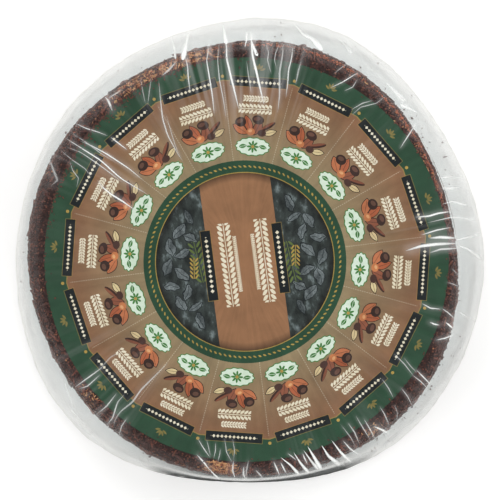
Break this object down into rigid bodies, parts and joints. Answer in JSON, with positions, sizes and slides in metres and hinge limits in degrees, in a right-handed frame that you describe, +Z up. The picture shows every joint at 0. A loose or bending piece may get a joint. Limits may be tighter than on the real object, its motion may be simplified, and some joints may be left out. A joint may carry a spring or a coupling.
{
  "type": "bark-coated cheese wheel",
  "caption": "Whole round cheese coated in ground dark bark, with a round printed paper label on its flat top, inside a loose clear film pack.",
  "frame": {"origin": "middle of the film pack's footprint, on the surface that the pack stands on", "axes": "+Z up through the label; +Y towards the top of the label as pictured; +X to its right"},
  "size_m": [0.3382, 0.335, 0.0907],
  "materials": {
    "bark_rind": "rough ground bark pressed into the rind, dark brown with lighter shreds",
    "label_paper": "printed paper, satin",
    "clear_film": "thin clear glossy film, pulled into folds"
  },
  "bodies": {
    "root": {"cheese_wheel": "bark_rind", "label_sheet": "label_paper", "film_skirt": "clear_film"}
  },
  "joints": []
}
